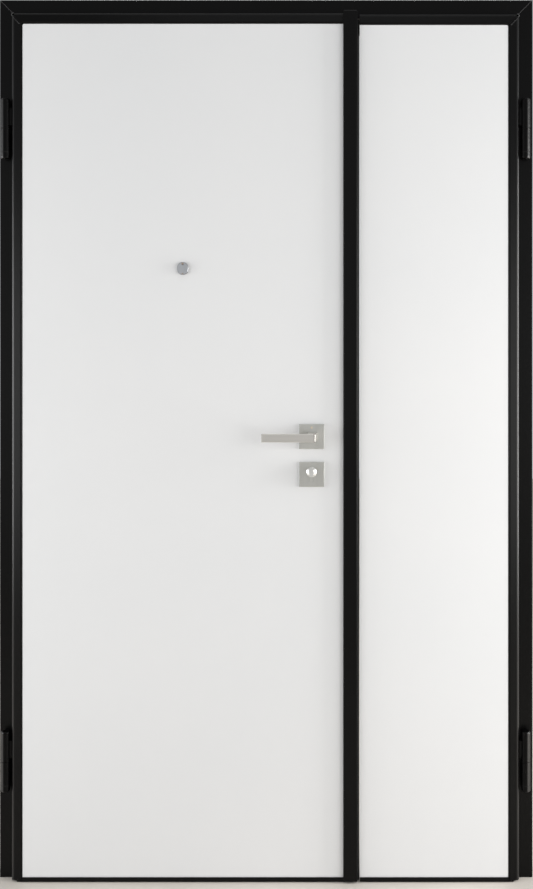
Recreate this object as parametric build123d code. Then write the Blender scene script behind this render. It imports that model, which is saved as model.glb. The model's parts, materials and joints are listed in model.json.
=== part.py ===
from build123d import *
import os

# A leaf-and-a-half entrance door: folded steel frame, two hinged leaves with white panels.
# X runs along the door from the left jamb's wall face, Y runs away from the room and Z runs up.
# The origin is on the left jamb's wall face, at floor level, in the middle of the frame's depth.

# Frame
frame_width = 1306.0
frame_height = 2150.0
frame_depth = 90.0
frame_sheet = 2.0
frame_bend = 2.2
frame_face = 45.0
rebate_depth = 63.0
stop_width = 18.0

# Wall fixings
fixing_rises = (220.0, 760.0)
fixing_drops = (790.0, 230.0)
fixing_radius = 5.5
access_radius = 9.0
cap_play = 0.1

# Seals on the stop
seal_width = 9.0
seal_lift = 4.0
seal_inset = 4.0
seal_round = 2.8

# Leaf sections
leaf_sheet = 2.0
leaf_bend = 2.0
lip_inset = 35.0
head_inset = 37.2
lip_width = 26.0
lip_projection = 26.0
lip_fall = 4.5
lip_round = 6.0
lip_crease = 1.0
lip_gap = 5.0
rebate_gap = 5.0
stop_gap = 10.0
back_lip = 16.0
panel_recess = 2.0
panel_reveal = 2.2
panel_thickness = 7.0
panel_play = 2.0
panel_corner = 4.0
floor_gap = 1.5
rail_height = 10.1
half_leaf_drop = 2.8
mitre_gap = 0.4
relief_radius = 2.8
relief_inset = 4.2

# Where the leaves meet
main_leaf_width = 842.3
strip_width = 35.0
strip_projection = 8.0
strip_rise = 3.2
strip_corner = 4.0
strip_round = 3.0
meeting_gap = 5.0
main_setback = 3.0
half_setback = 10.0
meeting_seal_gap = 1.5
meeting_seal_depth = 8.0
meeting_seal_round = 2.6
edge_flange = 26.0

# Hinges
hinge_inset = 18.8
hinge_forward = 15.0
hinge_rise = 290.5
hinge_drop = 318.4
barrel_radius = 11.0
barrel_round = 4.0
knuckle_length = 73.0
hinge_split = 1.0
pin_radius = 6.0
pin_length = 55.0
pin_play = 0.05
lug_thickness = 8.0
lug_setback = 1.0
lug_height = 42.0
lug_offset = 8.0

# Handle and cylinder
handle_height = 1082.5
handle_inset = 111.3
rose_size = 60.0
rose_thickness = 8.0
rose_round = 1.0
lever_reach = 55.0
lever_length = 118.0
lever_heel = 12.0
lever_height = 20.0
lever_thickness = 10.0
lever_bend = 5.0
lever_inner_bend = 3.0
lever_tip = 1.0
lever_round = 1.5
neck_radius = 10.0
neck_play = 0.05
spindle_side = 8.0
spindle_play = 0.05
spindle_bore = 7.0
cylinder_drop = 85.0
cylinder_rose_drop = 7.0
plug_radius = 8.5
cylinder_tail = 24.5
cylinder_tail_width = 10.0
cylinder_play = 0.3
cylinder_proud = 2.0
keyway_width = 2.2
keyway_height = 8.0
keyway_depth = 12.0
turn_radius = 12.5
turn_collar = 4.0
turn_slope = 3.4
turn_waist = 7.0
turn_reach = 27.0
turn_grip = 13.0
turn_grip_length = 22.0
turn_round = 1.0
turn_stem_radius = 5.0
turn_stem = 9.0
turn_play = 0.05
turn_gap = 0.5

# Viewer
viewer_height = 1490.0
viewer_inset = 418.0
viewer_radius = 13.0
viewer_tube_radius = 7.0
viewer_bore = 5.0
viewer_play = 0.1
viewer_base = 3.0
viewer_lens = 2.0
cover_radius = 13.5
cover_thickness = 2.5
cover_stretch = 4.0
cover_edge = 0.9
cover_gap = 0.3
rivet_radius = 1.6
rivet_head = 2.6
rivet_head_thickness = 1.2
rivet_rise = 10.5
rivet_play = 0.05

# Lock edge
faceplate_width = 34.0
faceplate_length = 460.0
faceplate_thickness = 2.0
faceplate_depth = 6.0
faceplate_round = 10.0
bolt_radius = 9.0
bolt_play = 0.4
bolt_length = 45.0
bolt_retract = 1.0
bolt_offsets = (-190.0, -150.0, -110.0, -70.0)
latch_offset = 60.0
strike_clearance = 2.0
strike_pocket = 30.0

# Places that follow from the sizes above
frame_front = -frame_depth / 2
lip_front = frame_front - lip_projection
lip_back = frame_front - lip_gap
panel_front = lip_front + panel_recess
core_front = panel_front + panel_thickness
leaf_back = frame_front + rebate_depth - stop_gap
outer_face = leaf_back - leaf_sheet
core_back = outer_face - panel_thickness
body_step = frame_face + rebate_gap - lip_inset
core_step = body_step + leaf_sheet
panel_step = core_step + panel_play
reveal_step = lip_width + panel_reveal

main_left = lip_inset
main_right = lip_inset + main_leaf_width
strip_left = main_right - strip_width
strip_front = lip_front - strip_projection
main_body_right = main_right - main_setback
half_left = main_right + meeting_gap
half_right = frame_width - lip_inset
half_body_left = half_left + half_setback

leaf_bottom = floor_gap
profile_foot = leaf_bottom + leaf_sheet
rail_top = leaf_bottom + rail_height
main_top = frame_height - head_inset
half_top = main_top - half_leaf_drop

hinge_y = frame_front - hinge_forward
hinge_heights = (hinge_rise, frame_height - hinge_drop)
fixing_y = frame_front + rebate_depth / 2
fixing_heights = (*fixing_rises, *[frame_height - drop for drop in fixing_drops])
handle_x = main_right - handle_inset
cylinder_height = handle_height - cylinder_drop
cylinder_rose_height = cylinder_height - cylinder_rose_drop
viewer_x = main_left + viewer_inset
rivet_height = viewer_height + rivet_rise
leaf_middle = (panel_front + outer_face) / 2
faceplate_middle = handle_height - cylinder_drop / 2
faceplate_y = (core_front + core_back) / 2 - faceplate_depth


def block(x_range, y_range, z_range):
    """Square block between two limits on each axis."""
    middle = [(low + high) / 2 for low, high in (x_range, y_range, z_range)]
    size = [high - low for low, high in (x_range, y_range, z_range)]
    return Pos(*middle) * Box(*size)


def rod(radius, start, direction, length):
    """Round bar from a start point along a direction."""
    return extrude(Plane(origin=start, z_dir=direction) * Circle(radius), amount=length)


def folded_sheet(points, sheet, bends):
    """Section of a folded sheet with its thickness on the right of the path and a bend for each corner."""
    path = [Vector(*point) for point in points]
    runs = [(end - start).normalized() for start, end in zip(path, path[1:])]
    rights = [Vector(run.Y, -run.X) for run in runs]
    inside = [path[0] + rights[0] * sheet]
    path_radii = []
    inside_radii = []
    for corner, bend, old_right, right in zip(path[1:], bends, rights, rights[1:]):
        inside.append(corner + (old_right + right) * (sheet / (1 + old_right.dot(right))))
        turns_right = old_right.X * right.Y - old_right.Y * right.X < 0
        path_radii.append(bend + sheet if turns_right else bend)
        inside_radii.append(bend if turns_right else bend + sheet)
    inside.append(path[-1] + rights[-1] * sheet)
    outer_line = FilletPolyline(*path, radius=path_radii)
    inner_line = FilletPolyline(*inside, radius=inside_radii)
    ends = [Line(path[0], inside[0]), Line(path[-1], inside[-1])]
    return make_face(outer_line.edges() + inner_line.edges() + [end.edge() for end in ends])


def member(section, start, inward, along, length):
    """Length of a section whose first axis points into the doorway and whose second is Y."""
    return extrude(Plane(origin=start, x_dir=inward, z_dir=along) * section, amount=length)


def keep_side(solid, point, normal, gap, keep):
    """Part of a solid on one side of a cut, set back by half the joint's gap."""
    direction = Vector(*normal).normalized()
    shift = direction * (gap / 2 if keep == Keep.TOP else -gap / 2)
    return split(solid, bisect_by=Plane(origin=Vector(*point) + shift, z_dir=direction), keep=keep)


# Frame pieces

def frame_section():
    """Closed folded section: wall plate, front face, rebate, stop and back face."""
    front, back = frame_front, frame_front + frame_depth
    stop = frame_front + rebate_depth
    inner = frame_face + stop_width
    corners = [(0, front), (frame_face, front), (frame_face, stop), (inner, stop), (inner, back), (0, back)]
    outline = make_face(Polyline(*corners, close=True))
    outline = fillet(outline.vertices(), frame_bend)
    return outline - offset(outline, amount=-frame_sheet)


def fixing_cuts(wall_x, inward):
    """Holes through a jamb for its wall fixings, wide in the rebate and narrow in the wall plate."""
    cuts = []
    for height in fixing_heights:
        start = (wall_x, fixing_y, height)
        cuts.append(rod(fixing_radius, start, (inward, 0, 0), frame_face / 2))
        middle = (wall_x + inward * frame_face / 2, fixing_y, height)
        cuts.append(rod(access_radius, middle, (inward, 0, 0), frame_face / 2))
    return cuts


def left_jamb():
    post = member(frame_section(), (0, 0, 0), (1, 0, 0), (0, 0, 1), frame_height)
    post = keep_side(post, (0, 0, frame_height), (1, 0, 1), 0, Keep.BOTTOM)
    return post - fixing_cuts(0, 1)


def right_jamb():
    post = member(frame_section(), (frame_width, 0, frame_height), (-1, 0, 0), (0, 0, -1), frame_height)
    post = keep_side(post, (frame_width, 0, frame_height), (-1, 0, 1), 0, Keep.BOTTOM)
    return post - fixing_cuts(frame_width, -1)


def frame_head():
    beam = member(frame_section(), (0, 0, frame_height), (0, 0, -1), (1, 0, 0), frame_width)
    beam = keep_side(beam, (0, 0, frame_height), (1, 0, 1), 0, Keep.TOP)
    return keep_side(beam, (frame_width, 0, frame_height), (-1, 0, 1), 0, Keep.TOP)


def fixing_caps():
    """Plugs that close the access holes, flush with the rebate."""
    caps = []
    for outer, inward in ((0, 1), (frame_width, -1)):
        for height in fixing_heights:
            start = (outer + inward * (frame_face - frame_sheet), fixing_y, height)
            caps.append(rod(access_radius - cap_play, start, (inward, 0, 0), frame_sheet))
    return Compound(children=caps)


def seal_section():
    """Rubber seal on the stop, with a rounded crown towards the leaf."""
    near = frame_face + seal_inset
    root = frame_front + rebate_depth
    face = make_face(Polyline((near, root), (near, root - seal_lift), (near + seal_width, root - seal_lift),
                              (near + seal_width, root), close=True))
    crown = face.vertices().group_by(Axis.Y)[0]
    return fillet(crown, seal_round)


def left_seal():
    strip = member(seal_section(), (0, 0, 0), (1, 0, 0), (0, 0, 1), frame_height)
    return keep_side(strip, (0, 0, frame_height), (1, 0, 1), mitre_gap, Keep.BOTTOM)


def right_seal():
    strip = member(seal_section(), (frame_width, 0, frame_height), (-1, 0, 0), (0, 0, -1), frame_height)
    return keep_side(strip, (frame_width, 0, frame_height), (-1, 0, 1), mitre_gap, Keep.BOTTOM)


def head_seal():
    strip = member(seal_section(), (0, 0, frame_height), (0, 0, -1), (1, 0, 0), frame_width)
    strip = keep_side(strip, (0, 0, frame_height), (1, 0, 1), mitre_gap, Keep.TOP)
    return keep_side(strip, (frame_width, 0, frame_height), (-1, 0, 1), mitre_gap, Keep.TOP)


# Hinges

def barrel(axis_x, bottom, rounded):
    """Knuckle barrel with one rounded end."""
    body = rod(barrel_radius, (axis_x, hinge_y, bottom), (0, 0, 1), knuckle_length)
    rims = body.edges().filter_by(GeomType.CIRCLE).sort_by(Axis.Z)
    return fillet(rims[-1] if rounded == "top" else rims[0], barrel_round)


def frame_knuckle(axis_x, height):
    """Lower half on the frame: barrel, lug back to the frame's face and the standing pin."""
    body = barrel(axis_x, height - hinge_split / 2 - knuckle_length, "bottom")
    half = lug_thickness / 2
    lug_top = height - lug_offset
    lug = block((axis_x - half, axis_x + half), (hinge_y, frame_front), (lug_top - lug_height, lug_top))
    pin = rod(pin_radius, (axis_x, hinge_y, height - hinge_split), (0, 0, 1), pin_length)
    return body + lug + pin


def leaf_knuckle(axis_x, height, lip_x):
    """Upper half on the leaf: bored barrel and a lug to the side of the leaf's lip."""
    bottom = height + hinge_split / 2
    body = barrel(axis_x, bottom, "top")
    lug_front = hinge_y + lug_setback - lug_thickness / 2
    lug_foot = height + lug_offset
    reach = sorted((axis_x, lip_x))
    body += block(reach, (lug_front, lug_front + lug_thickness), (lug_foot, lug_foot + lug_height))
    bore = rod(pin_radius + pin_play, (axis_x, hinge_y, bottom), (0, 0, 1), pin_length)
    return body - bore


# Leaf edges

def lip_section():
    """Folded leaf edge: return beside the panel, sloped lip over the frame, edge of the leaf, back lip."""
    return folded_sheet(
        [
            (lip_width, core_front),
            (lip_width, lip_front),
            (0, lip_front + lip_fall),
            (0, lip_back),
            (body_step, lip_back),
            (body_step, leaf_back),
            (body_step + back_lip, leaf_back),
        ],
        leaf_sheet,
        [lip_crease, lip_round, leaf_bend, leaf_bend, leaf_bend],
    )


def corner_relief(corner_x, inward, top):
    """Small round opening where the bends of two mitred lips run out."""
    start = (corner_x + inward * relief_inset, lip_front, top - relief_inset)
    return rod(relief_radius, start, (0, 1, 0), lip_width / 2)


def main_hinge_edge():
    height = main_top - profile_foot
    edge = member(lip_section(), (main_left, 0, profile_foot), (1, 0, 0), (0, 0, 1), height)
    edge = keep_side(edge, (main_left, 0, main_top), (1, 0, 1), mitre_gap, Keep.BOTTOM)
    return edge - corner_relief(main_left, 1, main_top)


def half_hinge_edge():
    height = half_top - profile_foot
    edge = member(lip_section(), (half_right, 0, half_top), (-1, 0, 0), (0, 0, -1), height)
    edge = keep_side(edge, (half_right, 0, half_top), (-1, 0, 1), mitre_gap, Keep.BOTTOM)
    return edge - corner_relief(half_right, -1, half_top)


def main_top_edge():
    """Top edge, cut away behind the meeting strip and over the lock edge's back lip."""
    length = main_body_right - main_left
    edge = member(lip_section(), (main_left, 0, main_top), (0, 0, -1), (1, 0, 0), length)
    edge = keep_side(edge, (main_left, 0, main_top), (1, 0, 1), mitre_gap, Keep.TOP)
    edge -= corner_relief(main_left, 1, main_top)
    below = (0, main_top - core_step)
    edge -= block((strip_left, main_right), (strip_front, panel_front), (0, frame_height))
    edge -= block((strip_left, main_right), (panel_front, core_front), below)
    return edge - block((main_body_right - back_lip, main_right), (core_front, leaf_back), below)


def half_top_edge():
    """Top edge whose lip reaches the meeting side further than the leaf's body."""
    length = half_right - half_left
    edge = member(lip_section(), (half_left, 0, half_top), (0, 0, -1), (1, 0, 0), length)
    edge = keep_side(edge, (half_right, 0, half_top), (-1, 0, 1), mitre_gap, Keep.TOP)
    edge -= corner_relief(half_right, -1, half_top)
    edge -= block((half_left, half_body_left), (lip_back, leaf_back), (0, frame_height))
    below = (0, half_top - core_step)
    return edge - block((half_left, half_body_left + back_lip), (core_front, leaf_back), below)


def main_lock_edge():
    """Lock edge: flange under the meeting strip, edge plate cut for the faceplate, back lip."""
    section = folded_sheet(
        [
            (edge_flange, panel_front - leaf_sheet),
            (0, panel_front - leaf_sheet),
            (0, leaf_back),
            (back_lip, leaf_back),
        ],
        leaf_sheet,
        [leaf_bend, leaf_bend],
    )
    top = main_top - core_step
    edge = member(section, (main_body_right, 0, top), (-1, 0, 0), (0, 0, -1), top - profile_foot)
    return edge - faceplate_block(main_body_right, -1)


def half_meeting_edge():
    """Meeting edge: flange behind the panel's overhang, edge plate cut for the strike, back lip."""
    section = folded_sheet(
        [
            (panel_play - half_setback, core_front + leaf_sheet),
            (0, core_front + leaf_sheet),
            (0, leaf_back),
            (back_lip, leaf_back),
        ],
        leaf_sheet,
        [leaf_bend, leaf_bend],
    )
    top = half_top - core_step
    edge = member(section, (half_body_left, 0, profile_foot), (1, 0, 0), (0, 0, 1), top - profile_foot)
    return edge - faceplate_block(half_body_left, 1)


def bottom_rail(front_range, back_range, whole_range):
    """Plate under the leaf with a low upstand in front and behind."""
    plate_top = leaf_bottom + leaf_sheet
    front_wall = panel_front - leaf_sheet
    plate = block(whole_range, (front_wall, leaf_back), (leaf_bottom, plate_top))
    plate += block(front_range, (front_wall, panel_front), (leaf_bottom, rail_top))
    return plate + block(back_range, (outer_face, leaf_back), (leaf_bottom, rail_top))


def main_bottom_rail():
    front = (main_left + lip_width, strip_left)
    back = (main_left + body_step + back_lip, main_body_right - back_lip)
    return bottom_rail(front, back, (main_left + body_step, main_body_right))


def half_bottom_rail():
    front = (half_left, half_right - lip_width)
    back = (half_body_left + back_lip, half_right - body_step - back_lip)
    return bottom_rail(front, back, (half_body_left, half_right - body_step))


def meeting_strip():
    """Pressed cover strip on the lock side, open at the back and rounded at its edges and corners."""
    top = main_top + strip_rise
    cover = block((strip_left, main_right), (strip_front, panel_front), (profile_foot, top))
    cover = fillet(cover.edges().filter_by(Axis.Y), strip_corner)
    front_rim = cover.faces().sort_by(Axis.Y)[0].edges()
    cover = fillet(front_rim, strip_round)
    hollow = block(
        (strip_left + leaf_sheet, main_right - leaf_sheet),
        (strip_front + leaf_sheet, panel_front),
        (profile_foot + leaf_sheet, top - leaf_sheet),
    )
    cover -= fillet(hollow.edges().filter_by(Axis.Y), strip_corner - leaf_sheet)
    flange_left = main_body_right - edge_flange
    flange_front = panel_front - leaf_sheet
    return cover - block((flange_left, main_body_right), (flange_front, panel_front), (0, main_top))


def meeting_seal():
    """Soft seal on the lock edge that closes the sight line between the leaves."""
    right = half_left - meeting_seal_gap
    front = core_front - meeting_seal_depth / 2
    seal = block((main_body_right, right), (front, front + meeting_seal_depth),
                 (profile_foot, main_top - core_step))
    nose = seal.edges().filter_by(Axis.Z).group_by(Axis.X)[-1]
    return fillet(nose, meeting_seal_round)


# Leaf bodies

def main_core():
    body = block((main_left + core_step, main_body_right - leaf_sheet), (core_front, core_back),
                 (profile_foot, main_top - core_step))
    body -= through_cuts()
    return body - faceplate_block(main_body_right, -1) - bolt_pockets()


def half_core():
    """Core of the half leaf, stepped forward clear of the meeting edge's flange and bend."""
    right = half_right - core_step
    height = (profile_foot, half_top - core_step)
    flange_back = core_front + leaf_sheet
    body = block((half_body_left + leaf_sheet, right), (flange_back, core_back), height)
    body += block((half_body_left + leaf_sheet + leaf_bend, right), (core_front, flange_back), height)
    return body - faceplate_block(half_body_left, 1) - strike_pockets()


def through_cuts():
    """Holes through the main leaf for the spindle, the cylinder and the viewer's tube."""
    start = panel_front
    length = outer_face - panel_front
    return [
        rod(spindle_bore, (handle_x, start, handle_height), (0, 1, 0), length),
        cylinder_bar(start, outer_face, cylinder_play),
        rod(viewer_tube_radius + viewer_play, (viewer_x, start, viewer_height), (0, 1, 0), length),
    ]


def main_panel(step, y_range):
    right = main_body_right - leaf_sheet - panel_play
    sheet = block((main_left + step, right), y_range, (profile_foot, main_top - step))
    return sheet - through_cuts()


def half_panel(left, step, y_range):
    return block((left, half_right - step), y_range, (profile_foot, half_top - step))


def round_top_corner(sheet, side):
    """Panel with its top corner beside the hinge edge rounded, where side is first or last along X."""
    corners = sheet.edges().filter_by(Axis.Y).group_by(Axis.Z)[-1].sort_by(Axis.X)
    return fillet(corners[side], panel_corner)


def main_inner_panel():
    return round_top_corner(main_panel(reveal_step, (panel_front, core_front)), 0)


def main_outer_panel():
    return main_panel(panel_step, (core_back, outer_face))


def half_inner_panel():
    return round_top_corner(half_panel(half_left, reveal_step, (panel_front, core_front)), -1)


def half_outer_panel():
    return half_panel(half_body_left + leaf_sheet + panel_play, panel_step, (core_back, outer_face))


# Lock edge

def faceplate_block(edge_x, inward):
    """Space that the faceplate or the strike plate fills, flush with its leaf's edge."""
    reach = sorted((edge_x, edge_x + inward * faceplate_thickness))
    half_width = faceplate_width / 2
    half_length = faceplate_length / 2
    plate = block(reach, (faceplate_y - half_width, faceplate_y + half_width),
                  (faceplate_middle - half_length, faceplate_middle + half_length))
    return fillet(plate.edges().filter_by(Axis.X), faceplate_round)


def bolt_places():
    return [faceplate_middle + offset_z for offset_z in (*bolt_offsets, latch_offset)]


def bolt_rods(edge_x, inward, radius, start, length):
    first = edge_x + inward * start
    return [rod(radius, (first, faceplate_y, height), (inward, 0, 0), length) for height in bolt_places()]


def bolt_pockets():
    return bolt_rods(main_body_right, -1, bolt_radius + bolt_play, 0, bolt_retract + bolt_length)


def strike_pockets():
    return bolt_rods(half_body_left, 1, bolt_radius + strike_clearance, 0, strike_pocket)


def lock_faceplate():
    return faceplate_block(main_body_right, -1) - bolt_pockets()


def strike_plate():
    return faceplate_block(half_body_left, 1) - strike_pockets()


def lock_bolts():
    """Drawn-back bolts and latch, just inside the faceplate."""
    bolts = bolt_rods(main_body_right, -1, bolt_radius, bolt_retract, bolt_length)
    return Compound(children=bolts)


# Handle, cylinder and viewer

def other_side(solid):
    """The same piece on the outer face of the leaf."""
    return mirror(solid, about=Plane(origin=(0, leaf_middle, 0), z_dir=(0, 1, 0)))


def square_rose(height):
    half = rose_size / 2
    rose = block((handle_x - half, handle_x + half), (panel_front - rose_thickness, panel_front),
                 (height - half, height + half))
    rose = fillet(rose.edges().filter_by(Axis.Y), rose_round)
    return fillet(rose.faces().sort_by(Axis.Y)[0].edges(), rose_round)


def inner_handle_rose():
    start = (handle_x, panel_front - rose_thickness, handle_height)
    return square_rose(handle_height) - rod(neck_radius + neck_play, start, (0, 1, 0), rose_thickness)


def inner_cylinder_rose():
    front = panel_front - rose_thickness
    return square_rose(cylinder_rose_height) - cylinder_bar(front, panel_front, cylinder_play)


def cylinder_bar(start_y, end_y, play):
    """Round plug housing with a narrower tail below it, as a bar along Y."""
    reach = cylinder_tail - cylinder_tail_width / 2
    tail = Pos(0, -reach / 2) * Rectangle(cylinder_tail_width + 2 * play, reach)
    tail += Pos(0, -reach) * Circle(cylinder_tail_width / 2 + play)
    outline = Circle(plug_radius + play) + tail
    plane = Plane(origin=(handle_x, start_y, cylinder_height), x_dir=(-1, 0, 0), z_dir=(0, 1, 0))
    return extrude(plane * outline, amount=end_y - start_y)


def lock_cylinder():
    """Profile cylinder through the leaf, bored for the thumbturn inside and slotted for a key outside."""
    front = panel_front - rose_thickness - cylinder_proud
    back = outer_face + rose_thickness + cylinder_proud
    body = cylinder_bar(front, back, 0)
    body -= rod(turn_stem_radius + turn_play, (handle_x, front, cylinder_height), (0, 1, 0), turn_stem)
    half_width = keyway_width / 2
    half_height = keyway_height / 2
    return body - block((handle_x - half_width, handle_x + half_width), (back - keyway_depth, back),
                        (cylinder_height - half_height, cylinder_height + half_height))


def inner_lever():
    """Flat bar bent back to a neck that turns in the rose, with a square socket for the spindle."""
    root = panel_front - rose_thickness
    bar_front = panel_front - lever_reach
    bar_back = bar_front + lever_thickness
    tip = handle_x - lever_length
    heel = handle_x + lever_heel
    outline = FilletPolyline(
        (handle_x - neck_radius, root - turn_gap),
        (handle_x - neck_radius, bar_back),
        (tip, bar_back),
        (tip, bar_front),
        (heel, bar_front),
        (heel, root - turn_gap),
        radius=[lever_inner_bend, lever_tip, lever_tip, lever_bend],
    )
    foot = Line(outline @ 1, outline @ 0)
    side = make_face(outline.edges() + [foot.edge()])
    half = lever_height / 2
    lever = extrude(Pos(0, 0, handle_height - half) * side, amount=lever_height)
    rims = lever.edges().group_by(Axis.Z)
    lever = fillet(rims[0] + rims[-1], lever_round)
    neck_front = root - lever_round
    lever += rod(neck_radius, (handle_x, neck_front, handle_height), (0, 1, 0), panel_front - neck_front)
    return lever - spindle_bar(spindle_play)


def spindle_bar(play):
    """Square bar from one lever's neck to the other's."""
    half = spindle_side / 2 + play
    start = panel_front - rose_thickness - play
    return block((handle_x - half, handle_x + half), (start, 2 * leaf_middle - start),
                 (handle_height - half, handle_height + half))


def thumbturn():
    """Round turn with a sloped rim and an upright rounded grip, on a stem in the cylinder's plug."""
    back = panel_front - rose_thickness - cylinder_proud - turn_gap
    front = panel_front - turn_reach
    centre = (handle_x, back, cylinder_height)
    collar = rod(turn_radius, centre, (0, -1, 0), turn_collar)
    rim_plane = Plane(origin=(handle_x, back - turn_collar, cylinder_height), z_dir=(0, -1, 0))
    upwards = (Align.CENTER, Align.CENTER, Align.MIN)
    rim = rim_plane * Cone(turn_radius, turn_waist, turn_slope, align=upwards)
    grip_plane = Plane(origin=centre, x_dir=(0, 0, 1), z_dir=(0, -1, 0))
    grip = extrude(grip_plane * SlotOverall(turn_grip_length, turn_grip), amount=back - front)
    grip = fillet(grip.faces().sort_by(Axis.Y)[0].edges(), turn_round)
    stem = rod(turn_stem_radius, centre, (0, 1, 0), turn_stem)
    return collar + rim + grip + stem


def viewer_tube():
    """Tube through the leaf with a round base inside, a rim outside and the cover's rivet."""
    front = panel_front - viewer_base
    back = outer_face + viewer_base
    centre = (viewer_x, front, viewer_height)
    body = rod(viewer_radius, centre, (0, 1, 0), viewer_base)
    body += rod(viewer_tube_radius, centre, (0, 1, 0), back - front)
    body += rod(viewer_radius, (viewer_x, outer_face, viewer_height), (0, 1, 0), viewer_base)
    body -= rod(viewer_bore, centre, (0, 1, 0), back - front)
    head_y = front - cover_gap * 2 - cover_thickness
    body += rod(rivet_radius, (viewer_x, head_y, rivet_height), (0, 1, 0), front - head_y)
    return body + rod(rivet_head, (viewer_x, head_y, rivet_height), (0, -1, 0), rivet_head_thickness)


def viewer_lenses():
    """Glass at both ends of the tube."""
    inner_y = panel_front - viewer_base
    outer_y = outer_face + viewer_base - viewer_lens
    starts = [(viewer_x, y, viewer_height) for y in (inner_y, outer_y)]
    return Compound(children=[rod(viewer_bore, start, (0, 1, 0), viewer_lens) for start in starts])


def viewer_cover():
    """Oval cover that hangs from its rivet, with a bevelled front edge."""
    back = panel_front - viewer_base - cover_gap
    plane = Plane(origin=(viewer_x, back, viewer_height), x_dir=(0, 0, 1), z_dir=(0, -1, 0))
    cover = extrude(plane * SlotCenterToCenter(cover_stretch, 2 * cover_radius), amount=cover_thickness)
    cover = chamfer(cover.faces().sort_by(Axis.Y)[0].edges(), cover_edge)
    hole = rod(rivet_radius + rivet_play, (viewer_x, back, rivet_height), (0, -1, 0), cover_thickness)
    return cover - hole


def build_pieces():
    """Every piece of the door by name."""
    left_axis = hinge_inset
    right_axis = frame_width - hinge_inset
    low, high = hinge_heights
    pieces = {
        "left_jamb": left_jamb(),
        "right_jamb": right_jamb(),
        "frame_head": frame_head(),
        "left_seal": left_seal(),
        "right_seal": right_seal(),
        "head_seal": head_seal(),
        "fixing_caps": fixing_caps(),
        "main_leaf_core": main_core(),
        "main_inner_panel": main_inner_panel(),
        "main_outer_panel": main_outer_panel(),
        "main_hinge_edge": main_hinge_edge(),
        "main_top_edge": main_top_edge(),
        "main_lock_edge": main_lock_edge(),
        "main_bottom_rail": main_bottom_rail(),
        "meeting_strip": meeting_strip(),
        "meeting_seal": meeting_seal(),
        "lock_faceplate": lock_faceplate(),
        "lock_bolts": lock_bolts(),
        "inner_handle_rose": inner_handle_rose(),
        "outer_handle_rose": other_side(inner_handle_rose()),
        "inner_cylinder_rose": inner_cylinder_rose(),
        "outer_cylinder_rose": other_side(inner_cylinder_rose()),
        "lock_cylinder": lock_cylinder(),
        "viewer_tube": viewer_tube(),
        "viewer_lenses": viewer_lenses(),
        "inner_lever": inner_lever(),
        "outer_lever": other_side(inner_lever()),
        "spindle": spindle_bar(0),
        "thumbturn": thumbturn(),
        "viewer_cover": viewer_cover(),
        "half_leaf_core": half_core(),
        "half_inner_panel": half_inner_panel(),
        "half_outer_panel": half_outer_panel(),
        "half_hinge_edge": half_hinge_edge(),
        "half_top_edge": half_top_edge(),
        "half_meeting_edge": half_meeting_edge(),
        "half_bottom_rail": half_bottom_rail(),
        "strike_plate": strike_plate(),
    }
    for name, height in (("lower", low), ("upper", high)):
        pieces[f"main_{name}_frame_knuckle"] = frame_knuckle(left_axis, height)
        pieces[f"half_{name}_frame_knuckle"] = frame_knuckle(right_axis, height)
        pieces[f"main_{name}_leaf_knuckle"] = leaf_knuckle(left_axis, height, main_left)
        pieces[f"half_{name}_leaf_knuckle"] = leaf_knuckle(right_axis, height, half_right)
    return pieces


os.makedirs("parts", exist_ok=True)
for piece_name, piece in build_pieces().items():
    export_step(piece, f"parts/{piece_name}.step")
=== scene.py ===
import json
import math

import bpy
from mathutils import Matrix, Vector


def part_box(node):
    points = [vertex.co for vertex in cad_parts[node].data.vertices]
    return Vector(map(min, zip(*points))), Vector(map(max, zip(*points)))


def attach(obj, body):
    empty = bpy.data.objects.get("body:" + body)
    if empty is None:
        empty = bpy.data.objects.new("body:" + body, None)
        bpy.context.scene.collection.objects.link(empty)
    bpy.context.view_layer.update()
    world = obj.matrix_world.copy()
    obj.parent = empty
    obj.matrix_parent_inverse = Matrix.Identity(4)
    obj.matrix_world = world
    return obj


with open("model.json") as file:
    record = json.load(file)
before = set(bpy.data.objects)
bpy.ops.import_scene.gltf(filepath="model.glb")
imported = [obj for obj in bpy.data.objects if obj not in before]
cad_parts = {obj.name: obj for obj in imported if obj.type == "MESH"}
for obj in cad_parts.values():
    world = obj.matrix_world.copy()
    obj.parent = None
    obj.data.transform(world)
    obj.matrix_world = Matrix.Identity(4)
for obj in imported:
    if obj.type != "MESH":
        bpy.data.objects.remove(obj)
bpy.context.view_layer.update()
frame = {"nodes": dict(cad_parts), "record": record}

MM = 0.001

# The picture's frame and what the photograph's view was worked out to be, in pixels and metres
PICTURE_WIDTH = 533
PICTURE_HEIGHT = 889
VANISHING_X = 360.0
VANISHING_Y = 345.0
METRES_PER_PIXEL = 0.0024514
CAMERA_DISTANCE = 2.7
FRAME_LEFT_PIXEL = -0.22
FRAME_TOP_PIXEL = 0.08
SENSOR = 36.0

# Places read from the door itself
frame_low, frame_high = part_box("left_jamb")
FRONT_Y = frame_low.y
DOOR_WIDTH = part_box("right_jamb")[1].x
DOOR_HEIGHT = frame_high.z
LIP_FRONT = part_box("main_bottom_rail")[0].y

# Folded edges of the leaves: sloped lips, outer bends measured from the door's sides, small round openings
LIP_WIDTH = 26 * MM
LIP_FALL = 4.5 * MM
BEND_START = 43 * MM
BEND_END = 40 * MM
RELIEF_INSET = 4.2 * MM
RELIEF_SEAT = 0.2 * MM
RELIEF_LEAN = 0.25

# Beads along the mitres
FRAME_SEAM_START = 1.5 * MM
FRAME_SEAM_REACH = 41 * MM
FRAME_SEAM_WIDTH = 1.1 * MM
LIP_SEAM_WIDTH = 1.2 * MM
SEAM_HEIGHT = 0.7 * MM
SEAM_ROUNDING = 0.45 * SEAM_HEIGHT

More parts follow.
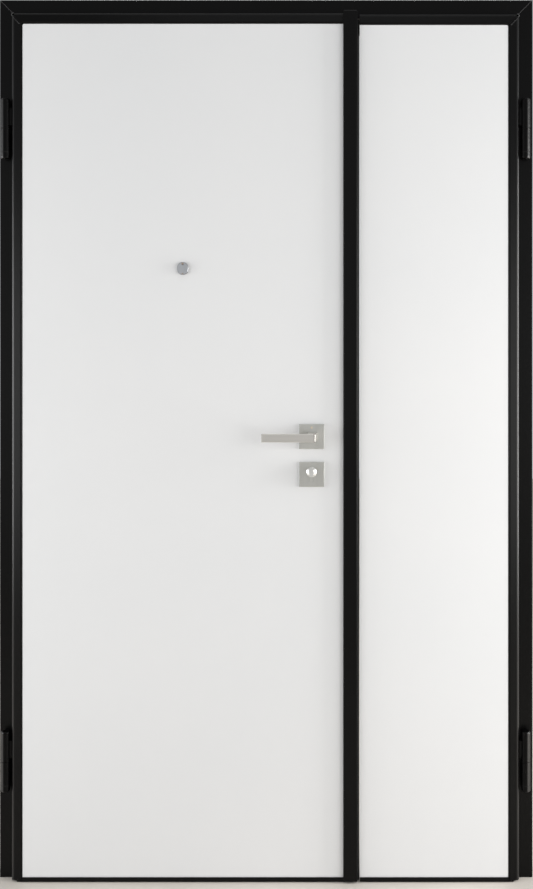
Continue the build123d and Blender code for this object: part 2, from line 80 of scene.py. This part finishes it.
# Points of a lip's bead in millimetres: in from the lip's edge, behind its face and below the leaf's top
LIP_SEAM_BEND = (0.8, 4.6, 7.5)
LIP_SEAM_NEAR = (6.0, 0.0, 13.0)
LIP_SEAM_FAR = (21.5, -0.2, 29.0)

# Rings
RING_SIDES = 56
LIP_RIM = {"inner": 3.0 * MM, "outer": 4.6 * MM, "height": 0.9 * MM, "soften": 0.35 * MM}
BEARING_RING = {"inner": 6.6 * MM, "outer": 8.6 * MM, "height": 0.9 * MM, "soften": 0.2 * MM}
HINGE_CAP_LINE = {"inner": 10.9 * MM, "outer": 11.15 * MM, "height": 0.9 * MM, "soften": 0.08 * MM}
KEY_PLUG_RIM = {"inner": 5.6 * MM, "outer": 6.6 * MM, "height": 0.8 * MM, "soften": 0.2 * MM}
VIEWER_RIM = {"inner": 5.4 * MM, "outer": 12.4 * MM, "height": 1.6 * MM, "soften": 0.6 * MM}
RIM_CUT_LEAN = 0.35
BEARING_DROP = 0.5 * MM
HINGE_CAP_HEIGHT = 16 * MM
VIEWER_RIM_STAND = 0.4 * MM

# Screws and pins, with their rounding and drives as shares of the head's radius or height
HEAD_SIDES = 40
SOCKET_SIDES = 6
SOCKET_HEAD_ROUNDING = 0.22
SOCKET_RADIUS = 0.5
SOCKET_DEPTH = 0.45
SLOTTED_HEAD_ROUNDING = 0.3
SLOT_WIDTH = 0.3
SLOT_LENGTH = 2.4
SLOT_DEPTH = 0.35
HINGE_SCREW = {"radius": 4.5 * MM, "height": 1.6 * MM}
PLATE_SCREW = {"radius": 4.4 * MM, "height": 1.2 * MM}
ROSE_PIN = {"radius": 2.9 * MM, "height": 0.8 * MM}
LEVER_GRUB = {"radius": 2.5 * MM, "height": 0.8 * MM}
RIVET_CAP = {"radius": 2.5 * MM, "height": 0.6 * MM}
COVER_PIN = {"radius": 1.8 * MM, "height": 0.7 * MM}
PLATE_SCREW_END = 14 * MM
PLATE_SCREW_MIDDLE = 250 * MM
PLATE_SCREW_SINK = 0.2 * MM
ROSE_PIN_RISE = 22 * MM
GRUB_REACH = 14 * MM
RIVET_INSET = 3.4 * MM
COVER_PIN_INSET = 3.0 * MM

ALONG_X, ALONG_Y, ALONG_Z = range(3)
SMOOTH_ANGLE = math.radians(35)
FLOOR_SIZE = 16
FLOOR_DROP = 0.5 * MM


# Small tools for shaping pieces

def clear_selection():
    """Leaves editing and selects nothing."""
    if bpy.context.object and bpy.context.object.mode != "OBJECT":
        bpy.ops.object.mode_set(mode="OBJECT")
    bpy.ops.object.select_all(action="DESELECT")


def settle(piece):
    """Puts a piece's place, turn and size into its mesh."""
    clear_selection()
    bpy.context.view_layer.objects.active = piece
    piece.select_set(True)
    bpy.ops.object.transform_apply(location=True, rotation=True, scale=True)


def pick_faces(piece, wanted):
    """Opens a piece for editing with only the wanted faces selected."""
    bpy.ops.object.mode_set(mode="EDIT")
    bpy.ops.mesh.select_mode(type="FACE")
    bpy.ops.mesh.select_all(action="DESELECT")
    bpy.ops.object.mode_set(mode="OBJECT")
    for face in piece.data.polygons:
        face.select = wanted(face)
    bpy.ops.object.mode_set(mode="EDIT")


def apply_modifier(piece, kind, **settings):
    """Adds a modifier with its settings and makes it part of the mesh."""
    modifier = piece.modifiers.new(kind.lower(), kind)
    for key, value in settings.items():
        setattr(modifier, key, value)
    bpy.context.view_layer.objects.active = piece
    bpy.ops.object.modifier_apply(modifier=modifier.name)


def aim(piece, place, direction):
    """Turns a piece made along Z into a direction and sets it at its place."""
    piece.rotation_euler = Vector(direction).to_track_quat("Z", "Y").to_euler()
    piece.location = place
    settle(piece)


def finish_piece(piece, name, body, material):
    """Smooths a shaped piece and hands it to the body that carries it."""
    clear_selection()
    piece.name = name
    piece.data.name = name
    piece.select_set(True)
    bpy.context.view_layer.objects.active = piece
    bpy.ops.object.shade_smooth_by_angle(angle=SMOOTH_ANGLE)
    piece.data.materials.clear()
    piece.data.materials.append(material)
    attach(piece, body)


def box_middle(node):
    low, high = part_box(node)
    return (low + high) / 2


# Small tools for materials

def new_material(name):
    """A new material with its nodes, links and shader."""
    material = bpy.data.materials.new(name)
    material.use_nodes = True
    nodes = material.node_tree.nodes
    return material, nodes, material.node_tree.links, nodes["Principled BSDF"]


def grey(level):
    return (level, level, level)


def scaled(colour, share):
    return tuple(value * share for value in colour)


def math_node(nodes, operation):
    node = nodes.new("ShaderNodeMath")
    node.operation = operation
    return node


def object_axes(nodes, links, source):
    """X, Y and Z of one of the texture coordinates, such as a point's place or a surface's direction."""
    coordinates = nodes.new("ShaderNodeTexCoord")
    axes = nodes.new("ShaderNodeSeparateXYZ")
    links.new(coordinates.outputs[source], axes.inputs["Vector"])
    return axes.outputs


def beside_middle(nodes, links):
    """How far a point is to the right of the door's middle."""
    offset = math_node(nodes, "SUBTRACT")
    offset.inputs[1].default_value = DOOR_WIDTH / 2
    links.new(object_axes(nodes, links, "Object")["X"], offset.inputs[0])
    return offset.outputs["Value"]


def object_pattern(nodes, links, scale, detail, stretch=(1, 1, 1), roughness=0.5):
    """Noise on object coordinates, stretched along an axis where a finish runs one way."""
    coordinates = nodes.new("ShaderNodeTexCoord")
    mapping = nodes.new("ShaderNodeMapping")
    mapping.inputs["Scale"].default_value = stretch
    noise = nodes.new("ShaderNodeTexNoise")
    noise.inputs["Scale"].default_value = scale
    noise.inputs["Detail"].default_value = detail
    noise.inputs["Roughness"].default_value = roughness
    links.new(coordinates.outputs["Object"], mapping.inputs["Vector"])
    links.new(mapping.outputs["Vector"], noise.inputs["Vector"])
    return noise.outputs["Fac"]


def ramp_stops(nodes, links, factor, stops):
    """Colours along a factor, from pairs of a position and a colour in rising order."""
    ramp = nodes.new("ShaderNodeValToRGB")
    elements = ramp.color_ramp.elements
    positions, colours = zip(*stops)
    for position in positions[1:-1]:
        elements.new(position)
    elements[0].position = positions[0]
    elements[len(stops) - 1].position = positions[-1]
    for element, colour in zip(elements, colours):
        element.color = (*colour, 1)
    links.new(factor, ramp.inputs["Fac"])
    return ramp.outputs["Color"]


def ramp_colours(nodes, links, factor, low_colour, high_colour):
    """Two colours that meet softly about the middle of a noise pattern."""
    return ramp_stops(nodes, links, factor, ((0.3, low_colour), (0.7, high_colour)))


def ramp_value(nodes, links, factor, low_value, high_value, low=0.0, high=1.0):
    """A value that runs from one end to the other while the factor goes from low to high."""
    spread = nodes.new("ShaderNodeMapRange")
    spread.inputs["From Min"].default_value = low
    spread.inputs["From Max"].default_value = high
    spread.inputs["To Min"].default_value = low_value
    spread.inputs["To Max"].default_value = high_value
    links.new(factor, spread.inputs["Value"])
    return spread.outputs["Result"]


def bump_from(nodes, links, height, strength, distance, under=None):
    """Surface direction of a bump, laid over another one if asked."""
    bump = nodes.new("ShaderNodeBump")
    bump.inputs["Strength"].default_value = strength
    bump.inputs["Distance"].default_value = distance
    links.new(height, bump.inputs["Height"])
    if under:
        links.new(under, bump.inputs["Normal"])
    return bump.outputs["Normal"]


# Materials

def bend_mask(nodes, links, face_value, bend_value):
    """One value on a hinge edge's face and another on its outer bend, by distance from the door's middle."""
    distance = math_node(nodes, "ABSOLUTE")
    links.new(beside_middle(nodes, links), distance.inputs[0])
    return ramp_value(nodes, links, distance.outputs["Value"], face_value, bend_value,
                      DOOR_WIDTH / 2 - BEND_START, DOOR_WIDTH / 2 - BEND_END)


def black_coat(name="black_powder_coat", shade=0.0016, roughness=0.30, gloss=0.16, bend_gloss=None):
    """Fine textured powder coat: grains over a soft orange peel, glossier on outer bends if asked."""
    material, nodes, links, shader = new_material(name)
    grain = object_pattern(nodes, links, scale=2600, detail=2)
    peel = object_pattern(nodes, links, scale=420, detail=3)
    clouds = object_pattern(nodes, links, scale=5, detail=4)
    dark = (shade * 0.85, shade * 0.85, shade * 0.87)
    light = (shade * 1.2, shade * 1.19, shade * 1.2)
    links.new(ramp_colours(nodes, links, clouds, dark, light), shader.inputs["Base Color"])
    links.new(ramp_value(nodes, links, grain, roughness - 0.06, roughness + 0.08),
              shader.inputs["Roughness"])
    soft = bump_from(nodes, links, peel, strength=0.12, distance=0.4 * MM)
    links.new(bump_from(nodes, links, grain, strength=0.18, distance=0.2 * MM, under=soft),
              shader.inputs["Normal"])
    shader.inputs["Specular IOR Level"].default_value = gloss
    if bend_gloss:
        links.new(bend_mask(nodes, links, gloss, bend_gloss), shader.inputs["Specular IOR Level"])
    return material


def knuckle_gloss(material):
    """Makes a knuckle's coat glossier on its outer flank, where the photograph shows a bright line."""
    nodes = material.node_tree.nodes
    links = material.node_tree.links
    side = math_node(nodes, "SIGN")
    outward = math_node(nodes, "MULTIPLY")
    links.new(beside_middle(nodes, links), side.inputs[0])
    links.new(side.outputs["Value"], outward.inputs[0])
    links.new(object_axes(nodes, links, "Normal")["X"], outward.inputs[1])
    flank = ((0.0, 0.12), (0.14, 0.14), (0.32, 0.75), (0.60, 0.75), (0.76, 0.25), (1.0, 0.3))
    gloss = ramp_stops(nodes, links, outward.outputs["Value"],
                       [(facing, grey(level)) for facing, level in flank])
    links.new(gloss, nodes["Principled BSDF"].inputs["Specular IOR Level"])


def white_panel():
    """Satin white laminate with a barely visible fine texture and slight unevenness."""
    material, nodes, links, shader = new_material("satin_white_laminate")
    clouds = object_pattern(nodes, links, scale=2.2, detail=4)
    grain = object_pattern(nodes, links, scale=1500, detail=3)
    links.new(ramp_colours(nodes, links, clouds, (0.782, 0.792, 0.804), (0.800, 0.806, 0.815)),
              shader.inputs["Base Color"])
    links.new(ramp_value(nodes, links, grain, 0.40, 0.52), shader.inputs["Roughness"])
    links.new(bump_from(nodes, links, grain, strength=0.08, distance=0.2 * MM), shader.inputs["Normal"])
    shader.inputs["Specular IOR Level"].default_value = 0.3
    return material


def painted_shade_on_rounds(nodes, links, pattern, fade=(0.0, 0.10, 0.90, 0.985)):
    """A pattern that fades to nothing on upright rounded edges, where the metal ramp paints shade that tones
    down their highlights.

    The four numbers are how far a surface faces sideways where the fading starts, is full, ends and is over.
    """
    slope = math_node(nodes, "ABSOLUTE")
    product = math_node(nodes, "MULTIPLY")
    links.new(object_axes(nodes, links, "Normal")["X"], slope.inputs[0])
    levels = (1, 0, 0, 1)
    shares = ramp_stops(nodes, links, slope.outputs["Value"],
                        [(facing, grey(level)) for facing, level in zip(fade, levels)])
    links.new(shares, product.inputs[0])
    links.new(pattern, product.inputs[1])
    return product.outputs["Value"]


def ramp_metal(nodes, links, factor, tint, edge):
    """Metal colours from painted shade on upright rounded edges over a slightly darker streak to the full
    tint.
    """
    return ramp_stops(nodes, links, factor,
                      ((0.0, scaled(tint, edge)), (0.3, scaled(tint, 0.93)), (0.7, tint)))


def brushed_metal(name, along, tint=(0.715, 0.715, 0.68), roughness=0.36, edge=0.35):
    """Satin metal with fine brush lines along one axis: nickel, or another tint for the pins."""
    material, nodes, links, shader = new_material(name)
    stretch = [1.0, 1.0, 1.0]
    stretch[along] = 0.02
    lines = object_pattern(nodes, links, scale=2400, detail=4, stretch=stretch, roughness=0.7)
    smears = object_pattern(nodes, links, scale=60, detail=3, stretch=stretch)
    # Base colour with painted shade: darker on upright rounded edges, where it tones down the lamps'
    # highlights
    colour = ramp_metal(nodes, links, painted_shade_on_rounds(nodes, links, smears), tint, edge)
    links.new(colour, shader.inputs["Base Color"])
    links.new(ramp_value(nodes, links, lines, roughness - 0.07, roughness + 0.1),
              shader.inputs["Roughness"])
    links.new(bump_from(nodes, links, lines, strength=0.12, distance=0.1 * MM), shader.inputs["Normal"])
    shader.inputs["Metallic"].default_value = 1.0
    return material


def polished_nickel():
    """Hazy bright nickel of the thumbturn, with painted shade darkening its flanks."""
    material, nodes, links, shader = new_material("polished_nickel")
    haze = object_pattern(nodes, links, scale=300, detail=4)
    flanks = painted_shade_on_rounds(nodes, links, haze, fade=(0.30, 0.80, 0.999, 1.0))
    links.new(ramp_metal(nodes, links, flanks, (0.95, 0.95, 0.925), edge=0.30), shader.inputs["Base Color"])
    links.new(ramp_value(nodes, links, haze, 0.30, 0.42), shader.inputs["Roughness"])
    shader.inputs["Metallic"].default_value = 1.0
    return material


def seal_rubber():
    """Dull black rubber with a little dust."""
    material, nodes, links, shader = new_material("seal_rubber")
    dust = object_pattern(nodes, links, scale=90, detail=5)
    links.new(ramp_colours(nodes, links, dust, grey(0.008), grey(0.016)), shader.inputs["Base Color"])
    links.new(ramp_value(nodes, links, dust, 0.62, 0.8), shader.inputs["Roughness"])
    links.new(bump_from(nodes, links, dust, strength=0.1, distance=0.3 * MM), shader.inputs["Normal"])
    shader.inputs["Specular IOR Level"].default_value = 0.25
    return material


def plated_steel():
    """Zinc plated steel of the lock's plates and bolts, with soft cloudy patches."""
    material, nodes, links, shader = new_material("zinc_plated_steel")
    spangle = object_pattern(nodes, links, scale=130, detail=5)
    links.new(ramp_colours(nodes, links, spangle, (0.42, 0.43, 0.44), (0.56, 0.57, 0.58)),
              shader.inputs["Base Color"])
    links.new(ramp_value(nodes, links, spangle, 0.28, 0.42), shader.inputs["Roughness"])
    shader.inputs["Metallic"].default_value = 1.0
    return material


def case_steel():
    """Dark galvanized sheet of the leaves' inner cases."""
    material, nodes, links, shader = new_material("galvanized_case")
    spangle = object_pattern(nodes, links, scale=45, detail=4)
    links.new(ramp_colours(nodes, links, spangle, (0.16, 0.165, 0.17), (0.24, 0.245, 0.25)),
              shader.inputs["Base Color"])
    links.new(ramp_value(nodes, links, spangle, 0.4, 0.55), shader.inputs["Roughness"])
    shader.inputs["Metallic"].default_value = 0.6
    return material


def cap_plastic():
    """Grained black plastic of the caps over the wall fixings."""
    material, nodes, links, shader = new_material("black_cap_plastic")
    grain = object_pattern(nodes, links, scale=1400, detail=2)
    links.new(ramp_colours(nodes, links, grain, grey(0.010), grey(0.018)), shader.inputs["Base Color"])
    links.new(bump_from(nodes, links, grain, strength=0.1, distance=0.2 * MM), shader.inputs["Normal"])
    shader.inputs["Roughness"].default_value = 0.55
    return material


def viewer_glass():
    """Clear glass of the viewer's lenses under a faint film."""
    material, nodes, links, shader = new_material("viewer_glass")
    film = object_pattern(nodes, links, scale=500, detail=3)
    links.new(ramp_colours(nodes, links, film, (0.90, 0.93, 0.95), (0.97, 0.98, 0.99)),
              shader.inputs["Base Color"])
    links.new(ramp_value(nodes, links, film, 0.02, 0.06), shader.inputs["Roughness"])
    shader.inputs["Transmission Weight"].default_value = 1.0
    shader.inputs["IOR"].default_value = 1.5
    return material


def dress_nodes(finishes):
    """Gives each node of the door its finish, by its own name or by its material slot."""
    slots = {row["node"]: row["material_slot"] for row in frame["record"]["subparts"]}
    for node, piece in frame["nodes"].items():
        finish = finishes.get(node) or finishes[slots[node]]
        for material_slot in piece.material_slots:
            material_slot.material = finish


coat = black_coat()
fold_coat = black_coat("folded_edge_coat", bend_gloss=0.5)
knuckle_coat = black_coat("knuckle_coat", shade=0.0012, roughness=0.33)
knuckle_gloss(knuckle_coat)
rubber = seal_rubber()
zinc = plated_steel()
# The edge share sets how dark the painted shade on upright rounded edges of each metal is
nickel_rose = brushed_metal("brushed_nickel_upright", ALONG_Z)
nickel_lever = brushed_metal("brushed_nickel_level", ALONG_X, (0.83, 0.805, 0.76), 0.30, edge=0.30)
dress_nodes({
    **{node: knuckle_coat for node in frame["nodes"] if node.endswith("knuckle")},
    "black_coat": coat,
    "main_hinge_edge": fold_coat,
    "half_hinge_edge": fold_coat,
    "white_panel": white_panel(),
    "satin_nickel": nickel_rose,
    "inner_lever": nickel_lever,
    "outer_lever": nickel_lever,
    "viewer_tube": brushed_metal("viewer_tube_nickel", ALONG_Y, grey(0.26), roughness=0.5),
    "viewer_cover": brushed_metal("viewer_nickel", ALONG_Z, (0.61, 0.63, 0.66)),
    "polished_nickel": polished_nickel(),
    "rubber": rubber,
    "zinc": zinc,
    "core": case_steel(),
    "cap": cap_plastic(),
    "lens": viewer_glass(),
})


# Pieces added to the door

def round_head(radius, height, round_off):
    """Round head along Z with a softened front rim."""
    clear_selection()
    bpy.ops.mesh.primitive_cylinder_add(vertices=HEAD_SIDES, radius=radius, depth=height)
    head = bpy.context.object
    pick_faces(head, lambda face: face.normal.z > 0.9)
    bpy.ops.mesh.bevel(offset=round_off, segments=4)
    bpy.ops.object.mode_set(mode="OBJECT")
    return head


def cut_with(piece, cutter):
    """Takes one piece out of another."""
    clear_selection()
    apply_modifier(piece, "BOOLEAN", object=cutter, operation="DIFFERENCE", solver="EXACT")
    clear_selection()
    cutter.select_set(True)
    bpy.ops.object.delete()


def socket_cutter(radius, top, depth):
    """Six-sided drive recess."""
    bpy.ops.mesh.primitive_cylinder_add(
        vertices=SOCKET_SIDES, radius=radius, depth=depth * 2, location=(0, 0, top))
    return bpy.context.object


def slot_cutter(width, length, top, depth):
    """Straight drive slot."""
    bpy.ops.mesh.primitive_cube_add(size=1, location=(0, 0, top), scale=(width, length, depth * 2))
    bpy.ops.object.transform_apply(location=True, rotation=True, scale=True)
    return bpy.context.object


def socket_screw(name, body, place, direction, radius, height, material, slot):
    """Screw head with a six-sided socket."""
    head = round_head(radius, height, radius * SOCKET_HEAD_ROUNDING)
    cut_with(head, socket_cutter(radius * SOCKET_RADIUS, height / 2, height * SOCKET_DEPTH))
    aim(head, place, direction)
    finish_piece(head, name, body, material)


def slotted_screw(name, body, place, direction, radius, height, material, slot):
    """Screw or pin head with a straight slot."""
    head = round_head(radius, height, min(radius, height) * SLOTTED_HEAD_ROUNDING)
    cut_with(head, slot_cutter(radius * SLOT_WIDTH, radius * SLOT_LENGTH, height / 2, height * SLOT_DEPTH))
    aim(head, place, direction)
    finish_piece(head, name, body, material)


def flat_ring(inner, outer, height, soften):
    """Ring about Z: a circle widened into a flat ring, thickened and softened."""
    clear_selection()
    bpy.ops.mesh.primitive_circle_add(vertices=RING_SIDES, radius=inner, fill_type="NOTHING")
    ring = bpy.context.object
    bpy.ops.object.mode_set(mode="EDIT")
    bpy.ops.mesh.select_all(action="SELECT")
    bpy.ops.mesh.extrude_edges_move()
    grow = outer / inner
    bpy.ops.transform.resize(value=(grow, grow, 1))
    bpy.ops.object.mode_set(mode="OBJECT")
    apply_modifier(ring, "SOLIDIFY", thickness=height, offset=0)
    apply_modifier(ring, "BEVEL", width=soften, segments=3, limit_method="ANGLE")
    return ring


def seam_bead(name, body, start, end, width, material):
    """Thin bead of coat along a mitre, from one point to another."""
    clear_selection()
    run = Vector(end) - Vector(start)
    bpy.ops.mesh.primitive_cube_add(size=1, scale=(width, SEAM_HEIGHT, run.length))
    bead = bpy.context.object
    settle(bead)
    apply_modifier(bead, "BEVEL", width=SEAM_ROUNDING, segments=3)
    aim(bead, (Vector(start) + Vector(end)) / 2, run)
    finish_piece(bead, name, body, material)


def frame_seams(material):
    """Mitre beads on the frame's face at both top corners."""
    for name, corner_x, inward in (("left", 0, 1), ("right", DOOR_WIDTH, -1)):
        start, end = [(corner_x + inward * step, FRONT_Y, DOOR_HEIGHT - step)
                      for step in (FRAME_SEAM_START, FRAME_SEAM_REACH)]
        seam_bead(f"{name}_frame_seam", "frame", start, end, FRAME_SEAM_WIDTH, material)


def lip_y(step):
    """Depth of the sloped lip at a distance from its outer edge."""
    return LIP_FRONT + LIP_FALL * (1 - step / LIP_WIDTH)


def lip_corner(name, body, corner_x, inward, top, material):
    """Beads along a side lip's cut end and a rolled rim around the outer half of its round opening."""
    runs = ((LIP_SEAM_BEND, LIP_SEAM_NEAR), (LIP_SEAM_NEAR, LIP_SEAM_FAR))
    for number, ends in enumerate(runs):
        start, end = [(corner_x + inward * step * MM, lip_y(step * MM) + drop * MM, top - fall * MM)
                      for step, drop, fall in ends]
        seam_bead(f"{name}_lip_seam_{number}", body, start, end, LIP_SEAM_WIDTH, material)
    rim = flat_ring(**LIP_RIM)
    bpy.ops.object.mode_set(mode="EDIT")
    bpy.ops.mesh.select_all(action="SELECT")
    bpy.ops.mesh.bisect(plane_co=(0, 0, 0), plane_no=(-inward, RIM_CUT_LEAN, 0),
                        use_fill=True, clear_inner=True)
    bpy.ops.object.mode_set(mode="OBJECT")
    place = (corner_x + inward * RELIEF_INSET, lip_y(RELIEF_INSET) + RELIEF_SEAT, top - RELIEF_INSET)
    aim(rim, place, (-inward * RELIEF_LEAN, -1, RELIEF_LEAN))
    finish_piece(rim, f"{name}_lip_rim", body, material)


def hinge_details(bearing, screw_finish):
    """Bearing ring in each hinge's joint, the line of its pressed-in cap and the screw under it."""
    for hinge in [f"{leaf}_{level}" for leaf in ("main", "half") for level in ("lower", "upper")]:
        low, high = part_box(f"{hinge}_frame_knuckle")
        leaf_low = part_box(f"{hinge}_leaf_knuckle")[0]
        axis_x = (low.x + high.x) / 2
        axis_y = low.y + (high.x - low.x) / 2
        ring = flat_ring(**BEARING_RING)
        aim(ring, (axis_x, axis_y, leaf_low.z - BEARING_DROP), (0, 0, 1))
        finish_piece(ring, f"{hinge}_hinge_ring", "frame", bearing)
        line = flat_ring(**HINGE_CAP_LINE)
        aim(line, (axis_x, axis_y, low.z + HINGE_CAP_HEIGHT), (0, 0, 1))
        finish_piece(line, f"{hinge}_hinge_cap_line", "frame", bearing)
        socket_screw(f"{hinge}_hinge_screw", "frame", (axis_x, axis_y, low.z), (0, 0, -1),
                     **HINGE_SCREW, material=screw_finish, slot="black_coat")


def plate_screws(finish):
    """Screws in the lock's faceplate and in the strike plate."""
    for node, body, outward in (("lock_faceplate", "main_leaf", 1), ("strike_plate", "half_leaf", -1)):
        low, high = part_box(node)
        face_x = high.x if outward > 0 else low.x
        middle_y = (low.y + high.y) / 2
        heights = (low.z + PLATE_SCREW_END, low.z + PLATE_SCREW_MIDDLE, high.z - PLATE_SCREW_END)
        for number, height in enumerate(heights):
            place = (face_x - outward * PLATE_SCREW_SINK, middle_y, height)
            slotted_screw(f"{node}_screw_{number}", body, place, (outward, 0, 0),
                          **PLATE_SCREW, material=finish, slot="zinc")


def handle_details(brass, steel):
    """Locating pin on each handle rose and the grub screw under each lever's neck."""
    for side, outward in (("inner", -1), ("outer", 1)):
        low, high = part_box(f"{side}_handle_rose")
        middle = box_middle(f"{side}_handle_rose")
        front = low.y if outward < 0 else high.y
        over_neck = (middle.x, front, middle.z + ROSE_PIN_RISE)
        slotted_screw(f"{side}_rose_pin", "main_leaf", over_neck, (0, outward, 0),
                      **ROSE_PIN, material=brass, slot="satin_nickel")
        lever_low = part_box(f"{side}_lever")[0]
        under_neck = (middle.x, front + outward * GRUB_REACH, lever_low.z)
        socket_screw(f"{side}_lever_grub", "lever_handle", under_neck, (0, 0, -1),
                     **LEVER_GRUB, material=steel, slot="zinc")


def key_plug(finish):
    """Raised plug around the key slot on the outer side."""
    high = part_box("lock_cylinder")[1]
    turn = box_middle("thumbturn")
    rim = flat_ring(**KEY_PLUG_RIM)
    aim(rim, (turn.x, high.y, turn.z), (0, 1, 0))
    finish_piece(rim, "key_plug_rim", "main_leaf", finish)


def viewer_details(finish, pin_finish):
    """Outer rim of the viewer, the cap on its cover's rivet and the small pin at the cover's lower end."""
    tube_low, tube_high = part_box("viewer_tube")
    middle = box_middle("viewer_lenses")
    rim = flat_ring(**VIEWER_RIM)
    aim(rim, (middle.x, tube_high.y + VIEWER_RIM_STAND, middle.z), (0, 1, 0))
    finish_piece(rim, "viewer_outer_rim", "main_leaf", finish)
    low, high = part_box("viewer_cover")
    slotted_screw("viewer_rivet_cap", "main_leaf", (middle.x, tube_low.y, high.z - RIVET_INSET), (0, -1, 0),
                  **RIVET_CAP, material=pin_finish, slot="satin_nickel")
    slotted_screw("viewer_lower_pin", "viewer_flap", (middle.x, low.y, low.z + COVER_PIN_INSET), (0, -1, 0),
                  **COVER_PIN, material=pin_finish, slot="satin_nickel")


# Light coat for the mitre beads and the lip rims: painted highlight along the seams and round the openings,
# where their edges catch the lamps
painted_highlight_coat = black_coat("painted_highlight_coat", shade=0.09, roughness=0.24)
rose_brass = brushed_metal("brass_pin", ALONG_X, (1.0, 0.90, 0.74), roughness=0.32, edge=0.8)
viewer_brass = brushed_metal("viewer_pin", ALONG_X, (0.52, 0.41, 0.33), roughness=0.36, edge=0.8)
main_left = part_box("main_hinge_edge")[0].x
main_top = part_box("main_top_edge")[1].z
half_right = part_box("half_hinge_edge")[1].x
half_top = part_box("half_top_edge")[1].z
frame_seams(painted_highlight_coat)
lip_corner("main", "main_leaf", main_left, 1, main_top, painted_highlight_coat)
lip_corner("half", "half_leaf", half_right, -1, half_top, painted_highlight_coat)
hinge_details(rubber, coat)
plate_screws(zinc)
handle_details(rose_brass, zinc)
key_plug(nickel_rose)
viewer_details(nickel_rose, viewer_brass)


# Camera, floor and light

def photograph_camera():
    """Level camera whose lens is shifted so that the vanishing point lies where the photograph has it."""
    data = bpy.data.cameras.new("photograph_view")
    camera = bpy.data.objects.new("photograph_view", data)
    bpy.context.scene.collection.objects.link(camera)
    camera.location = (
        (VANISHING_X - FRAME_LEFT_PIXEL) * METRES_PER_PIXEL,
        FRONT_Y - CAMERA_DISTANCE,
        DOOR_HEIGHT - (VANISHING_Y - FRAME_TOP_PIXEL) * METRES_PER_PIXEL,
    )
    camera.rotation_euler = (math.radians(90), 0, 0)
    data.sensor_fit = "AUTO"
    data.sensor_width = SENSOR
    data.lens = SENSOR * CAMERA_DISTANCE / METRES_PER_PIXEL / PICTURE_HEIGHT
    data.shift_x = (PICTURE_WIDTH / 2 - VANISHING_X) / PICTURE_HEIGHT
    data.shift_y = (VANISHING_Y - PICTURE_HEIGHT / 2) / PICTURE_HEIGHT
    bpy.context.scene.camera = camera


def pale_floor():
    """Plain pale floor under the door."""
    clear_selection()
    bpy.ops.mesh.primitive_plane_add(size=FLOOR_SIZE, location=(DOOR_WIDTH / 2, 0, -FLOOR_DROP))
    floor = bpy.context.object
    floor.name = "pale_floor"
    material, nodes, links, shader = new_material("pale_floor")
    clouds = object_pattern(nodes, links, scale=3, detail=5)
    links.new(ramp_colours(nodes, links, clouds, (0.575, 0.54, 0.49), (0.665, 0.62, 0.57)),
              shader.inputs["Base Color"])
    shader.inputs["Roughness"].default_value = 0.6
    floor.data.materials.append(material)


def grey_room():
    """World whose brightness changes with height, from the horizon up to the ceiling."""
    world = bpy.data.worlds.new("room")
    bpy.context.scene.world = world
    world.use_nodes = True
    nodes = world.node_tree.nodes
    links = world.node_tree.links
    tint = (0.98, 0.99, 1.0)
    heights = (
        (0.0, 0.64), (0.10, 0.58), (0.25, 0.40), (0.45, 0.37),
        (0.60, 0.24), (0.72, 0.26), (0.88, 0.80),
    )
    sky = ramp_stops(nodes, links, object_axes(nodes, links, "Generated")["Z"],
                     [(height, scaled(tint, level)) for height, level in heights])
    links.new(sky, nodes["Background"].inputs["Color"])
    nodes["Background"].inputs["Strength"].default_value = 1.0


def soft_lamp(name, place, target, size, power, colour):
    """Rectangular lamp turned to a target."""
    data = bpy.data.lights.new(name, "AREA")
    data.shape = "RECTANGLE"
    data.size, data.size_y = size
    data.energy = power
    data.color = colour
    lamp = bpy.data.objects.new(name, data)
    bpy.context.scene.collection.objects.link(lamp)
    lamp.location = place
    lamp.rotation_euler = (Vector(target) - Vector(place)).to_track_quat("-Z", "Y").to_euler()


def room_lamps():
    """A wide and a slim soft lamp on each side of the door, one above and one behind."""
    middle_x = DOOR_WIDTH / 2
    edge_inset = 0.03
    edge_height = 1.1
    high_x = 0.80
    left_edge = (edge_inset, FRONT_Y, edge_height)
    right_edge = (DOOR_WIDTH - edge_inset, FRONT_Y, edge_height)
    upper_face = (high_x, FRONT_Y, 1.5)
    back_face = (middle_x, 0, edge_height)
    cool = (0.985, 0.995, 1.0)
    warm = (1.0, 0.99, 0.97)
    soft_lamp("left_soft_lamp", (-1.9, -1.31, 1.05), left_edge, size=(2.0, 1.3), power=30, colour=cool)
    soft_lamp("left_edge_lamp", (-2.3, -0.46, 1.15), left_edge, size=(0.5, 1.6), power=21, colour=cool)
    soft_lamp("right_soft_lamp", (2.72, -1.44, 1.05), right_edge, size=(1.7, 1.35), power=24, colour=warm)
    soft_lamp("right_edge_lamp", (3.5, -0.43, 1.15), right_edge, size=(0.5, 1.8), power=66, colour=warm)
    soft_lamp("high_lamp", (high_x, -1.25, 3.4), upper_face, size=(1.6, 0.5), power=3.5, colour=cool)
    soft_lamp("back_lamp", (middle_x, 2.2, 3.5), back_face, size=(2.4, 0.8), power=45, colour=cool)


photograph_camera()
pale_floor()
grey_room()
room_lamps()
bpy.context.scene.view_settings.view_transform = "Standard"
